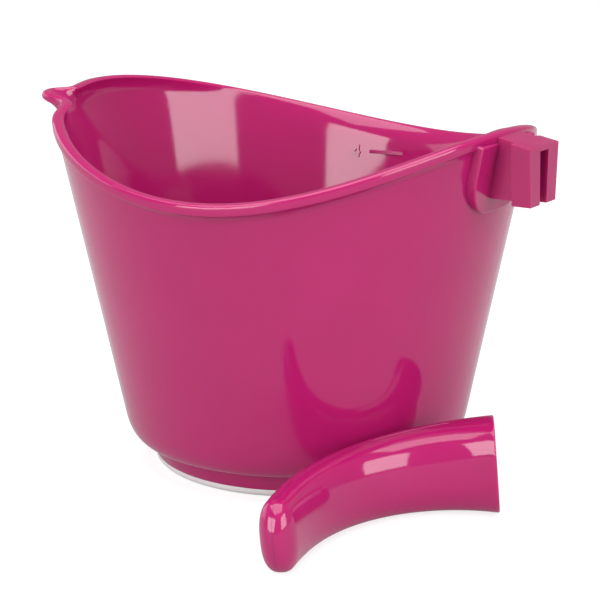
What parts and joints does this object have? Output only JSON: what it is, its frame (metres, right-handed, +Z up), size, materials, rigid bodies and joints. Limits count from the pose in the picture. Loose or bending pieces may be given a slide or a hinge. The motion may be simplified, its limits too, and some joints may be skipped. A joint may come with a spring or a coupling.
{
  "type": "hair color bowl",
  "caption": "Salon hair colour bowl in glossy magenta plastic with a wavy rim, pouring spout, non-slip ring and a curved handle that comes off.",
  "frame": {"origin": "on the bowl's axis at table height, in the plane of the non-slip ring's underside", "axes": "+Z up along the bowl's axis, +X from the axis to the T rail that takes the handle, +Y a quarter turn anticlockwise from +X seen from above"},
  "size_m": [0.1398, 0.1473, 0.1016],
  "materials": {
    "magenta_plastic": "polished, glossy",
    "white_rubber": "matte, soft"
  },
  "bodies": {
    "bowl": {"bowl": "magenta_plastic", "non_slip_ring": "white_rubber"},
    "handle": {"handle_top_shell": "magenta_plastic", "handle_bottom_shell": "magenta_plastic"}
  },
  "joints": [
    {"name": "handle_lift", "type": "slide", "parent": "bowl", "child": "handle", "axis": [0.5628, -0.4399, 0.6998], "range_m": [0, 0.12]}
  ]
}
